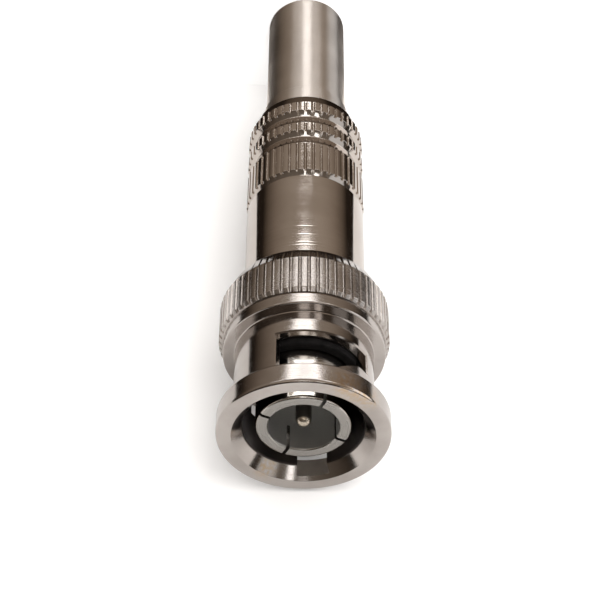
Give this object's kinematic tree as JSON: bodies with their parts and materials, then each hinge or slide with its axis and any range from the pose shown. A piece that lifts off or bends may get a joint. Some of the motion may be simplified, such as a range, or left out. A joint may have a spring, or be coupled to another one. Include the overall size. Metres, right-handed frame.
{
  "type": "bnc connector",
  "caption": "Male bayonet plug for coaxial cable with a knurled coupling nut, slotted outer contact, screw-on barrel and plain tail tube.",
  "frame": {"origin": "on the axis at the tail tube's end, which the connector stands on", "axes": "+Z along the axis from the tail to the mating face; -Y is the side that the first bayonet window opens on"},
  "size_m": [0.0148, 0.0148, 0.0544],
  "materials": {
    "nut_nickel": "bright nickel plate over turned brass, worn along the rim's edges",
    "spring_steel": "plain spring steel",
    "washer_nickel": "satin nickel plate",
    "body_nickel": "bright nickel plate",
    "black_rubber": "matt black rubber",
    "contact_nickel": "satin nickel plate",
    "white_plastic": "matt white moulded plastic",
    "pin_nickel": "satin nickel plate",
    "screw_steel": "plain steel",
    "clamp_nickel": "nickel plated strip",
    "sleeve_plastic": "translucent white plastic tube",
    "barrel_nickel": "bright nickel plate with fine turning marks",
    "tail_nickel": "satin nickel plate"
  },
  "bodies": {
    "plug": {"plug_body": "body_nickel", "front_gasket": "black_rubber", "outer_contact": "contact_nickel", "front_insulator": "white_plastic", "rear_insulator": "white_plastic", "centre_pin": "pin_nickel", "core_screw": "screw_steel", "cable_clamp": "clamp_nickel", "wave_washer": "spring_steel"},
    "thrust": {"thrust_washer": "washer_nickel"},
    "nut": {"coupling_nut": "nut_nickel", "retaining_ring": "spring_steel"},
    "sleeve": {"insulating_sleeve": "sleeve_plastic"},
    "barrel": {"barrel": "barrel_nickel", "tail_tube": "tail_nickel"}
  },
  "joints": [
    {"name": "nut_float", "type": "slide", "parent": "plug", "child": "thrust", "axis": [0, 0, 1], "range_m": [0, 0.0008], "stiffness_N_per_m": 4000, "springref_m": -0.0004, "deforming": ["wave_washer"]},
    {"name": "nut_turn", "type": "hinge", "parent": "thrust", "child": "nut", "pos_m": [0, 0, 0.046], "axis": [0, 0, 1], "continuous": true},
    {"name": "barrel_travel", "type": "slide", "parent": "plug", "child": "sleeve", "axis": [0, 0, -1], "range_m": [0, 0.0072]},
    {"name": "barrel_turn", "type": "hinge", "parent": "sleeve", "child": "barrel", "pos_m": [0, 0, 0.03], "axis": [0, 0, -1], "range_deg": [0, 3456]}
  ],
  "couplings": [
    {"joint": "barrel_travel", "follows": "barrel_turn", "m_per_rad": 0.00011937}
  ]
}
